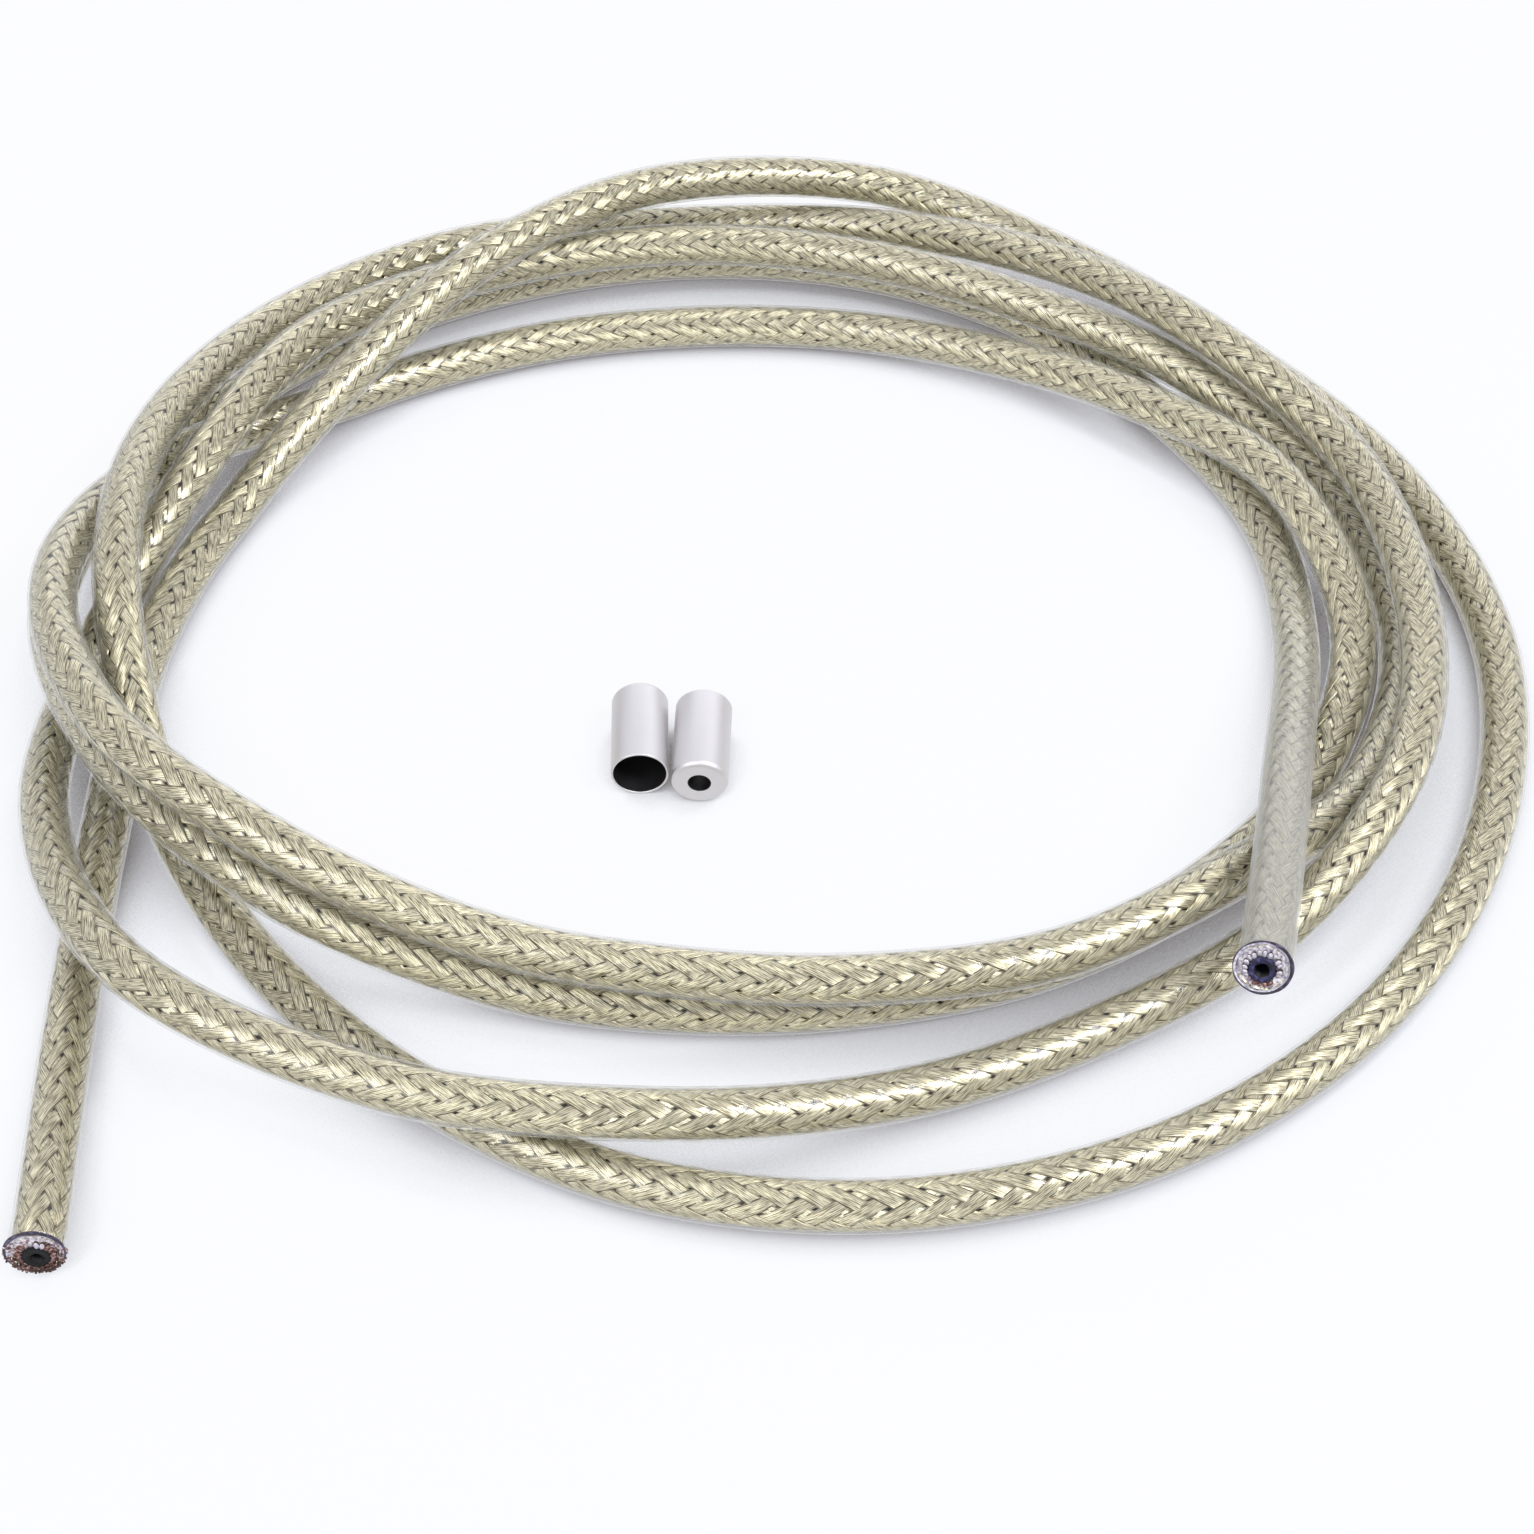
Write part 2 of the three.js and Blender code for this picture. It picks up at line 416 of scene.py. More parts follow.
def braid_hand(name, hand):
    sheet = grid_mesh(ribbon_steps, ribbon_sides)
    u, v = grid_coordinates(sheet, ribbon_steps, ribbon_sides)
    work = bmesh.new()
    for index in range(RIBBONS_EACH_WAY):
        straight, corner = ribbon_points(u, v, index, hand)
        write_points(sheet, bend(shape_ends(straight)))
        # Two whole periods more for each ribbon, so that no two have the same streaks
        from_float = (u * housing_length - float_centre(index, hand) + 2 * index * FLOAT_PERIOD) / MM
        write_uv(sheet, from_float, RIBBON_ACROSS[corner] * 0.5 + 0.5)
        work.from_mesh(sheet)
    bpy.data.meshes.remove(sheet)
    weld_seams(work)
    mark_cut(bmesh.ops.holes_fill(work, edges=open_edges(work), sides=0)["faces"])
    bmesh.ops.recalc_face_normals(work, faces=work.faces)
    return finish_piece(work, name)


print("braid angle", round(math.degrees(braid_angle), 1), "degrees,", ribbon_steps, "steps a ribbon")

# %% Weave both hands
braid_right = braid_hand("braid_right_hand", 1)
braid_left = braid_hand("braid_left_hand", -1)

# %% [markdown]
# ## Steel wires
# Index housing carries its load in a ring of steel wires laid along it, twenty here. They show as a ring
# of bright dots at the cuts and as dark lines through the gaps of the braid. Each wire is one thin tube.
# At the cuts the nipper left them uneven, so each ends a little further out or in than the next. The low
# ones are stained brown: most of them at the far end, and a few at the first.

# %% Model the wires
WIRES = 20
WIRE_RADIUS = 0.2 * MM
WIRE_RING = 1.3 * MM
WIRE_SIDES = 8
WIRE_STEPS = 400
WIRE_LAY = 180 * MM
WIRE_ENDS_UNEVEN = 0.1 * MM
STAINED_WIRE = 2
FIRST_STAIN_HEIGHT = -0.95 * MM
LAST_STAIN_HEIGHT = 0.5 * MM


def is_stained(place):
    if at_first_cut(place):
        return place.z - centre_line[0][2] < FIRST_STAIN_HEIGHT
    return place.z - centre_line[-1][2] < LAST_STAIN_HEIGHT


def lay_wires():
    wire_section = round_section(WIRE_RADIUS)
    work = bmesh.new()
    sheet = grid_mesh(WIRE_STEPS, WIRE_SIDES)
    u, v = grid_coordinates(sheet, WIRE_STEPS, WIRE_SIDES)
    for index in range(WIRES):
        first_end, last_end = rng.uniform(-WIRE_ENDS_UNEVEN, WIRE_ENDS_UNEVEN, 2)
        x = lengthwise(u, WIRE_STEPS) + first_end * (1 - u) + last_end * u
        turn = 2 * math.pi * (index / WIRES + x / WIRE_LAY)
        out, across = wire_section(v)
        radius = WIRE_RING + out
        y = radius * np.cos(turn) - across * np.sin(turn)
        z = radius * np.sin(turn) + across * np.cos(turn)
        write_points(sheet, bend(shape_ends(np.stack([x, y, z], axis=1))))
        write_uv(sheet, x / MM, v)
        work.from_mesh(sheet)
    bpy.data.meshes.remove(sheet)
    weld_seams(work)
    sheared = bmesh.ops.holes_fill(work, edges=open_edges(work), sides=0)["faces"]
    mark_cut(sheared)
    for face in sheared:
        if is_stained(face.calc_center_median()):
            face.material_index = STAINED_WIRE
    bmesh.ops.recalc_face_normals(work, faces=work.faces)
    return finish_piece(work, "steel_wires")


wires = lay_wires()

# %% [markdown]
# ## Liner
# The liner is the slick tube that the inner cable would run in. It is moulded under the wires, so its
# outside is pressed into a small ridge between each two of them, which shows at the cut as teeth. The
# nipper left its bore ragged. Only the first cut shows the liner's paler inside: at the far end its face
# is as dark as its outside.

# %% Model the liner
LINER_RADIUS = 1.02 * MM
LINER_BORE = 0.62 * MM
LINER_RIDGE = 0.14 * MM
BORE_RAGGED = 0.09
LINER_SIDES = 60
LINER_BORE_SIDES = 48
LINER_STEPS = 400


def ridged_section(v):
    ridge = np.abs(np.sin(math.pi * WIRES * v)) ** 3
    radius = LINER_RADIUS + LINER_RIDGE * (1 - ridge)
    return radius * np.cos(2 * math.pi * v), radius * np.sin(2 * math.pi * v)


def ragged_section(v):
    radius = LINER_BORE * (1 + BORE_RAGGED * np.sin(10 * math.pi * v) * np.cos(18 * math.pi * v))
    return radius * np.cos(2 * math.pi * v), radius * np.sin(2 * math.pi * v)


liner = sleeve(
    "inner_liner_tube", ridged_section, ragged_section, LINER_STEPS, LINER_SIDES, LINER_BORE_SIDES,
)
for face in liner.data.polygons:
    if face.material_index == CUT_FACE and not at_first_cut(face.center):
        face.material_index = 0

# %% [markdown]
# ## What the nipper left
# Between the wires and the jacket a cut face isn't open: crushed filament and nylon fill it. Two thin
# rings stand for that, a little behind the ends of the wires. The nipper also left a thin creased lip on
# the jacket round both cuts, and at the far end a fringe of filament stubs sticks out of the rim. They
# are modelled straight as well, and take the shape of the cut with the rest.

# %% Lay a small piece on the route
def lay_on_route(work):
    straight = np.array([vert.co for vert in work.verts])
    for vert, place in zip(work.verts, bend(shape_ends(straight))):
        vert.co = place
    bmesh.ops.recalc_face_normals(work, faces=work.faces)


def spin_round_x(work, geom, steps):
    bmesh.ops.spin(
        work, geom=geom, cent=(0, 0, 0), axis=(1, 0, 0), dvec=(0, 0, 0),
        angle=2 * math.pi, steps=steps, use_merge=True,
    )
    bmesh.ops.remove_doubles(work, verts=work.verts, dist=1e-7)


print("end pieces can be laid on the route")

# %% Fill the cut faces
FILLING_BEHIND = 0.07 * MM
FILLING_DEPTH = 0.4 * MM
FILLING_BORE = 1.06 * MM
FILLING_RINGS = 7
FILLING_STEPS = 72
FILLING_UNEVEN = 0.05 * MM


def cut_filling(name, face_x, inwards):
    work = bmesh.new()
    radii = np.linspace(FILLING_BORE, JACKET_BORE, FILLING_RINGS)
    spoke = [work.verts.new((face_x, radius, 0)) for radius in radii]
    spoke += [work.edges.new(pair) for pair in zip(spoke, spoke[1:])]
    spin_round_x(work, spoke, FILLING_STEPS)
    for vert in work.verts:
        vert.co.x += inwards * rng.uniform(0, 1) * FILLING_UNEVEN
    walls = bmesh.ops.extrude_face_region(work, geom=list(work.faces))["geom"]
    moved = [item for item in walls if isinstance(item, bmesh.types.BMVert)]
    bmesh.ops.translate(work, vec=(inwards * FILLING_DEPTH, 0, 0), verts=moved)
    lay_on_route(work)
    return finish_piece(work, name)


first_filling = cut_filling("first_cut_filling", FILLING_BEHIND, 1)
last_filling = cut_filling("last_cut_filling", housing_length - FILLING_BEHIND, -1)

# %% Crease a lip round each cut
LIP_RING = 1.98 * MM
LIP_THICKNESS = 0.1 * MM
LIP_SIDES = 10
LIP_STEPS = 96
LIP_FULLNESS = 0.7
LIP_ONE_SIDED = 0.42
LIP_UNEVEN = 0.12
FIRST_LIP_STRONGEST = math.radians(-10)
LAST_LIP_STRONGEST = math.atan2(LAST_UP[1], LAST_UP[0])


def creased_lip(name, cut_x, strongest):
    work = bmesh.new()
    lip_place = Matrix.Translation((cut_x, LIP_RING, 0))
    bmesh.ops.create_circle(work, radius=LIP_THICKNESS, segments=LIP_SIDES, matrix=lip_place)
    spin_round_x(work, work.verts[:] + work.edges[:], LIP_STEPS)
    for vert in work.verts:
        around = math.atan2(vert.co.z, vert.co.y)
        ring = Vector((cut_x, LIP_RING * math.cos(around), LIP_RING * math.sin(around)))
        fullness = LIP_FULLNESS + LIP_ONE_SIDED * math.cos(around - strongest)
        fullness += LIP_UNEVEN * math.sin(7 * around)
        vert.co = ring + (vert.co - ring) * fullness
    lay_on_route(work)
    return finish_piece(work, name)


first_lip = creased_lip("first_jacket_lip", 0.0, FIRST_LIP_STRONGEST)
last_lip = creased_lip("last_jacket_lip", housing_length, LAST_LIP_STRONGEST)

# %% Fray the far end
FRINGE_COUNT = 240
FRINGE_LENGTH = (0.08 * MM, 0.24 * MM)
FRINGE_RING = (1.6 * MM, 2.04 * MM)
FRINGE_SPREAD = 0.85
FRINGE_ROOT = 0.08 * MM
STUB_SIDES = 6
STUB_BASE = 0.11 * MM
STUB_TIP = 0.07 * MM
STUB_FORWARDS = (0.5, 1.2)
STUB_OUTWARDS = 0.5
STUB_ASTRAY = 0.3
FRINGE_MIDDLE = math.atan2(-LAST_UP[1], -LAST_UP[0])


def frayed_fringe():
    work = bmesh.new()
    for _ in range(FRINGE_COUNT):
        around = FRINGE_MIDDLE + rng.normal(0, FRINGE_SPREAD)
        radius = rng.uniform(*FRINGE_RING)
        length = rng.uniform(*FRINGE_LENGTH)
        y, z = math.cos(around), math.sin(around)
        root = Vector((housing_length - FRINGE_ROOT, radius * y, radius * z))
        lean = Vector((rng.uniform(*STUB_FORWARDS), y * STUB_OUTWARDS, z * STUB_OUTWARDS))
        lean += Vector(rng.uniform(-STUB_ASTRAY, STUB_ASTRAY, 3))
        turned = lean.to_track_quat("Z", "Y").to_matrix().to_4x4()
        placed = Matrix.Translation(root + lean.normalized() * length / 2) @ turned
        bmesh.ops.create_cone(
            work, cap_ends=True, segments=STUB_SIDES, radius1=STUB_BASE, radius2=STUB_TIP,
            depth=length, matrix=placed,
        )
    lay_on_route(work)
    return finish_piece(work, "frayed_fringe")


fringe = frayed_fringe()

# %% [markdown]
# ## Ferrules
# A ferrule is a thin metal cap, deep-drawn from sheet: a closed end with a small hole for the inner
# cable, and a socket for the housing. It is turned here from its profile with the spin operator, the way
# a lathe would make it, with a rolled lip at the mouth. Its socket and hole get painted shade, nearly
# black inside, so those faces are marked for a material of their own.

# %% Turn the ferrules
FERRULE_RADIUS = 2.35 * MM
FERRULE_SOCKET = 2.15 * MM
FERRULE_LENGTH = 8.4 * MM
FERRULE_END_WALL = 1.5 * MM
FERRULE_HOLE = 0.92 * MM
FERRULE_ROUND = 0.5 * MM
FERRULE_BEVEL = 0.1 * MM
FERRULE_FILLET = 0.3 * MM
FERRULE_GAP = 0.15 * MM
FERRULE_PAIR = np.array([-8.4, -15.6, 0.0]) * MM
FERRULE_SPLAY = math.radians(1.7)
RIGHT_FERRULE_NEARER = 1.0 * MM
LATHE_STEPS = 96


def arc(centre, radius, start, end, count):
    angles = np.linspace(math.radians(start), math.radians(end), count)
    return [(centre[0] + radius * math.cos(a), centre[1] + radius * math.sin(a)) for a in angles]


def ferrule_profile():
    lip = (FERRULE_RADIUS - FERRULE_SOCKET) / 2
    profile = arc((FERRULE_HOLE + FERRULE_BEVEL, FERRULE_BEVEL), FERRULE_BEVEL, 180, 270, 5)
    profile += arc((FERRULE_RADIUS - FERRULE_ROUND, FERRULE_ROUND), FERRULE_ROUND, -90, 0, 10)
    profile += arc((FERRULE_SOCKET + lip, FERRULE_LENGTH - lip), lip, 0, 180, 9)
    corner = (FERRULE_SOCKET - FERRULE_FILLET, FERRULE_END_WALL + FERRULE_FILLET)
    profile += arc(corner, FERRULE_FILLET, 0, -90, 6)
    profile += [(FERRULE_HOLE, FERRULE_END_WALL)]
    return profile


def faces_inside(work):
    for face in work.faces:
        middle = face.calc_center_median()
        from_axis = math.hypot(middle.x, middle.z)
        in_hole = from_axis < FERRULE_HOLE + FERRULE_BEVEL / 4
        in_socket = from_axis < FERRULE_SOCKET + 0.01 * MM and middle.y > FERRULE_END_WALL * 0.9
        if in_hole or in_socket:
            yield face


def turn_ferrule(name, side, mouth_in_front):
    work = bmesh.new()
    corners = [work.verts.new((radius, height, 0)) for radius, height in ferrule_profile()]
    outline = [work.edges.new(pair) for pair in zip(corners, corners[1:] + corners[:1])]
    bmesh.ops.spin(
        work, geom=corners + outline, cent=(0, 0, 0), axis=(0, 1, 0), dvec=(0, 0, 0),
        angle=2 * math.pi, steps=LATHE_STEPS, use_merge=True,
    )
    bmesh.ops.remove_doubles(work, verts=work.verts, dist=1e-6)
    bmesh.ops.recalc_face_normals(work, faces=work.faces)
    mark_cut(faces_inside(work))
    if mouth_in_front:
        turned = Matrix.Translation((0, FERRULE_LENGTH, 0)) @ Matrix.Rotation(math.pi, 4, "Z")
        bmesh.ops.transform(work, matrix=turned, verts=work.verts)
    sideways_shift = side * (FERRULE_RADIUS + FERRULE_GAP / 2)
    nearer = RIGHT_FERRULE_NEARER if side > 0 else 0
    seat = Vector(COIL_CENTRE + FERRULE_PAIR) + Vector((sideways_shift, -nearer, FERRULE_RADIUS))
    splay = Matrix.Rotation(-side * FERRULE_SPLAY, 4, "Z")
    bmesh.ops.transform(work, matrix=Matrix.Translation(seat) @ splay, verts=work.verts)
    return finish_piece(work, name)


ferrule_left = turn_ferrule("left_ferrule_cap", -1, True)
ferrule_right = turn_ferrule("right_ferrule_cap", 1, False)

# %% [markdown]
# ## Materials
# Colours are written as the sRGB hex values that a picture editor shows, and turned to linear by one
# function. One small function adds a node. Its settings name a socket or an option of the node, and what
# comes with the name is a value to set, another node to link, or the stops of a colour ramp. Many of the
# finishes are one recipe: patches of a few tones, of a real width, under one gloss.

# %% Helpers for materials
def colour(hex_value):
    channels = [int(hex_value[i:i + 2], 16) / 255 for i in (1, 3, 5)]
    linear = [c / 12.92 if c <= 0.04045 else ((c + 0.055) / 1.055) ** 2.4 for c in channels]
    return (*linear, 1.0)


def add_node(tree, kind, settings):
    node = tree.nodes.new(kind)
    for name, value in settings.items():
        source = value.outputs[0] if isinstance(value, bpy.types.Node) else value
        if name == "stops":
            elements = node.color_ramp.elements
            for position, _ in value[1:-1]:
                elements.new(position)
            for element, (position, shade) in zip(elements, value):
                element.position = position
                element.color = colour(shade)
        elif isinstance(source, bpy.types.NodeSocket):
            tree.links.new(source, node.inputs[name])
        elif isinstance(name, int) or name in node.inputs:
            node.inputs[name].default_value = value
        else:
            setattr(node, name, value)
    return node


def new_material(name):
    material = bpy.data.materials.new(name)
    material.use_nodes = True
    material.node_tree.nodes.clear()
    return material, material.node_tree


def patchy_material(name, patch_width, detail, stops, finish):
    material, tree = new_material(name)
    place = add_node(tree, "ShaderNodeTexCoord", {})
    patches = add_node(tree, "ShaderNodeTexNoise", {
        "Scale": 1 / patch_width, "Detail": detail, "Vector": place.outputs["Object"],
    })
    tones = add_node(tree, "ShaderNodeValToRGB", {"Fac": patches.outputs["Fac"], "stops": stops})
    surface = add_node(tree, "ShaderNodeBsdfPrincipled", {"Base Color": tones, **finish})
    add_node(tree, "ShaderNodeOutputMaterial", {"Surface": surface})
    return material


def dress(pieces, materials, slot, *nodes):
    for piece in pieces:
        for material in materials:
            piece.data.materials.append(material)
        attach(piece, "root")
        print(piece.name, "is of", " and ".join(material.name for material in materials))
    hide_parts(*nodes)


print("material helpers ready")

# %% [markdown]
# ### Clear nylon
# The jacket is extruded straight onto the braid, so light passes it nearly unbent and the braid shows at
# its true width, with a clear margin beside it. Refracting glass would magnify the braid to the full width
# of the tube. So the jacket is see-through, and two things are mixed in by how flat the eye meets it: the
# mirror of a glossy plastic, and the slight haze that nylon shows where one looks along its wall.
# Its surface follows the braid in small waves, which break the glints into dashes. The first few
# centimetres, up to where the tail joins the coil, get a milky veil of haze as a painted reflection.

# %% Clear jacket material
WAVE_HEIGHT = 0.03 * MM
MIRROR_HEAD_ON = 0.045
MIRROR_EDGE_ON = 0.75
MIRROR_FALLOFF = 4.0
# Painted reflection: a milky veil of haze over the tail's first centimetres, for light from behind
PAINTED_VEIL_FROM = 16.0
PAINTED_VEIL_UNTIL = 58.0
PAINTED_VEIL_AT_END = 0.42
HAZE_EDGE_ON = 0.25
HAZE_UNDER_PAINTED_VEIL = 0.6
HAZE_FALLOFF = 2.5
clear_nylon, tree = new_material("clear extruded nylon")
jacket_uv = add_node(tree, "ShaderNodeUVMap", {"uv_map": "UVMap"})
parts = add_node(tree, "ShaderNodeSeparateXYZ", {"Vector": jacket_uv})
gap_turn = add_node(tree, "ShaderNodeMath", {
    "operation": "MULTIPLY", 0: parts.outputs["X"], 1: 2 * math.pi * MM / GAP_SPACING,
})
ribbon_turn = add_node(tree, "ShaderNodeMath", {
    "operation": "MULTIPLY", 0: parts.outputs["Y"], 1: 2 * math.pi * RIBBONS_EACH_WAY,
})
wave_along = add_node(tree, "ShaderNodeMath", {"operation": "COSINE", 0: gap_turn})
wave_around = add_node(tree, "ShaderNodeMath", {"operation": "COSINE", 0: ribbon_turn})
waves = add_node(tree, "ShaderNodeMath", {"operation": "MULTIPLY", 0: wave_along, 1: wave_around})
surface_waves = add_node(tree, "ShaderNodeBump", {"Distance": WAVE_HEIGHT, "Height": waves})
edge_on = add_node(tree, "ShaderNodeLayerWeight", {"Blend": 0.5})
steep = add_node(tree, "ShaderNodeMath", {
    "operation": "POWER", 0: edge_on.outputs["Facing"], 1: MIRROR_FALLOFF,
})
mirror_rise = add_node(tree, "ShaderNodeMath", {
    "operation": "MULTIPLY_ADD", 0: steep, 1: MIRROR_EDGE_ON, 2: MIRROR_HEAD_ON,
})
geometry = add_node(tree, "ShaderNodeNewGeometry", {})
outside = add_node(tree, "ShaderNodeMath", {
    "operation": "SUBTRACT", 0: 1.0, 1: geometry.outputs["Backfacing"],
})
mirror_share = add_node(tree, "ShaderNodeMath", {"operation": "MULTIPLY", 0: mirror_rise, 1: outside})
hazy_edge = add_node(tree, "ShaderNodeMath", {
    "operation": "POWER", 0: edge_on.outputs["Facing"], 1: HAZE_FALLOFF,
})
# Painted reflection, strongest at the first cut and fading along the tail
painted_veil = add_node(tree, "ShaderNodeMapRange", {
    "From Min": PAINTED_VEIL_FROM, "From Max": PAINTED_VEIL_UNTIL, "To Min": PAINTED_VEIL_AT_END, "To Max": 0.0,
    "Value": parts.outputs["X"],
})
head_on = add_node(tree, "ShaderNodeMath", {"operation": "SUBTRACT", 0: 1.0, 1: edge_on.outputs["Facing"]})
painted_veil_head_on = add_node(tree, "ShaderNodeMath", {"operation": "MULTIPLY", 0: painted_veil, 1: head_on})
edge_haze = add_node(tree, "ShaderNodeMath", {
    "operation": "MULTIPLY_ADD", 0: painted_veil, 1: HAZE_UNDER_PAINTED_VEIL, 2: HAZE_EDGE_ON,
})
haze_share = add_node(tree, "ShaderNodeMath", {
    "operation": "MULTIPLY_ADD", 0: hazy_edge, 1: edge_haze, 2: painted_veil_head_on,
})
see_through = add_node(tree, "ShaderNodeBsdfTransparent", {"Color": colour("#FDFDFD")})
mirror = add_node(tree, "ShaderNodeBsdfAnisotropic", {
    "Color": colour("#FFFFFF"), "Roughness": 0.14, "Normal": surface_waves,
})
haze = add_node(tree, "ShaderNodeBsdfDiffuse", {"Color": colour("#DADAD4")})
glossy = add_node(tree, "ShaderNodeMixShader", {"Fac": mirror_share, 1: see_through, 2: mirror})
hazy = add_node(tree, "ShaderNodeMixShader", {"Fac": haze_share, 1: glossy, 2: haze})
add_node(tree, "ShaderNodeOutputMaterial", {"Surface": hazy})

# %% [markdown]
# Where it is cut, the same nylon is crushed and cloudy: lilac grey with pale flecks. Its creased lips are
# painted dark, as painted shade for the dark lines round the cuts.

# %% Cut nylon and lip materials
FLECK_WIDTH = 0.25 * MM
LIP_SHADE_PATCH = 0.4 * MM
crushed_nylon = patchy_material(
    "nipped cloudy nylon", FLECK_WIDTH, detail=3.0,
    stops=[(0.35, "#9A92A8"), (0.5, "#CFC9D8"), (0.65, "#F6F3FA")],
    finish={"Roughness": 0.35, "IOR": 1.53},
)
dress([jacket], [clear_nylon, crushed_nylon], "clear_jacket", "outer_jacket")

# Painted shade: a dark ring along each cut rim of the clear jacket
lip_painted_shade = patchy_material(
    "creased nylon lip with painted shade", LIP_SHADE_PATCH, detail=2.0,
    stops=[(0.35, "#15121E"), (0.5, "#2E273E"), (0.68, "#5E546C")],
    finish={"Roughness": 0.4, "IOR": 1.53},
)
dress([first_lip, last_lip], [lip_painted_shade], "clear_jacket")

# %% [markdown]
# ### Pale gold filament
# The braid is of glossy synthetic filament, pale straw gold. Its ribbons vary a little in tone along
# their length. Each shows about eight filaments side by side with a line of painted shade between them,
# and the edges of a ribbon carry painted shade, where it dives under the next. Like hair, a bundle of
# filaments gives a highlight that is wide across it and narrow along it, so one hand of the braid
# glitters where the other is plain. A ribbon is painted greyest in the middle of each float and given a
# painted highlight where it turns down. The pattern follows the ribbon, so it reads the ribbon's own UV
# map, which holds millimetres along it, counted from the middle of a float, and its width from 0 to 1.

# %% Braid material
FILAMENTS = 8
STREAKS = (1.3, FILAMENTS * 1.5, 1)
FILAMENT_RELIEF = 0.02 * MM
# Painted shade between filaments and at ribbon edges, painted highlight where a float turns down
FILAMENT_GROOVE_SHADE = 0.07
EDGE_PAINTED_SHADE = -0.13
EDGE_FALLOFF = 6.0
FLOAT_PAINTED_SHADE_AND_HIGHLIGHT = -0.055
filament, tree = new_material("pale gold polyester filament")
ribbon_uv = add_node(tree, "ShaderNodeUVMap", {"uv_map": "UVMap"})
parts = add_node(tree, "ShaderNodeSeparateXYZ", {"Vector": ribbon_uv})
stretched = add_node(tree, "ShaderNodeMapping", {"Scale": STREAKS, "Vector": ribbon_uv})
streaks = add_node(tree, "ShaderNodeTexNoise", {"Scale": 1.0, "Detail": 3.0, "Vector": stretched})
filament_turn = add_node(tree, "ShaderNodeMath", {
    "operation": "MULTIPLY", 0: parts.outputs["Y"], 1: 2 * math.pi * FILAMENTS,
})
rounded = add_node(tree, "ShaderNodeMath", {"operation": "COSINE", 0: filament_turn})
# Painted shade: a darker line in the groove between each two filaments
with_groove_shade = add_node(tree, "ShaderNodeMath", {
    "operation": "MULTIPLY_ADD", 0: rounded, 1: FILAMENT_GROOVE_SHADE, 2: streaks.outputs["Fac"],
})
from_middle = add_node(tree, "ShaderNodeMath", {
    "operation": "MULTIPLY_ADD", 0: parts.outputs["Y"], 1: 2.0, 2: -1.0,
})
to_edge = add_node(tree, "ShaderNodeMath", {"operation": "ABSOLUTE", 0: from_middle})
# Painted shade along a ribbon's edges, where it dives under the next
edge_shade = add_node(tree, "ShaderNodeMath", {"operation": "POWER", 0: to_edge, 1: EDGE_FALLOFF})
with_edge_shade = add_node(tree, "ShaderNodeMath", {
    "operation": "MULTIPLY_ADD", 0: edge_shade, 1: EDGE_PAINTED_SHADE, 2: with_groove_shade,
})
float_turn = add_node(tree, "ShaderNodeMath", {
    "operation": "MULTIPLY", 0: parts.outputs["X"], 1: 2 * math.pi * MM / FLOAT_PERIOD,
})
on_top = add_node(tree, "ShaderNodeMath", {"operation": "COSINE", 0: float_turn})
# Painted highlight where a float turns down, painted shade in its middle
tone = add_node(tree, "ShaderNodeMath", {
    "operation": "MULTIPLY_ADD", 0: on_top, 1: FLOAT_PAINTED_SHADE_AND_HIGHLIGHT, 2: with_edge_shade,
})
golds = add_node(tree, "ShaderNodeValToRGB", {
    "Fac": tone, "stops": [(0.28, "#6B5C3A"), (0.42, "#BDB79C"), (0.52, "#E6DEBA"), (0.66, "#FFF9DC")],
})
uneven = add_node(tree, "ShaderNodeMath", {"operation": "ADD", 0: rounded, 1: streaks.outputs["Fac"]})
relief = add_node(tree, "ShaderNodeBump", {
    "Strength": 0.5, "Distance": FILAMENT_RELIEF, "Height": uneven,
})
ribbon_direction = add_node(tree, "ShaderNodeTangent", {"direction_type": "UV_MAP", "uv_map": "UVMap"})
thread = add_node(tree, "ShaderNodeBsdfPrincipled", {
    "Base Color": golds, "Roughness": 0.38, "IOR": 1.55, "Metallic": 0.75, "Anisotropic": 0.95,
    "Anisotropic Rotation": 0.25, "Tangent": ribbon_direction, "Normal": relief,
})
add_node(tree, "ShaderNodeOutputMaterial", {"Surface": thread})

# %% [markdown]
# At the cuts the filament is crushed to a lilac-grey pulp. At the far end the pulp is stained brown in its
# lower part, and so is the fringe that sticks out of the rim.

# %% Crushed filament materials
CLUMP_WIDTH = MM / 3.5
STAIN_LOW = 2.2 * MM
STAIN_HIGH = 4.8 * MM
STAIN_SHIFT = 0.14
pulp = patchy_material(
    "crushed filament pulp", CLUMP_WIDTH, detail=3.0,
    stops=[(0.36, "#8D7F90"), (0.47, "#CFC6D6"), (0.62, "#FBF8FF")],
    finish={"Roughness": 0.5},
)

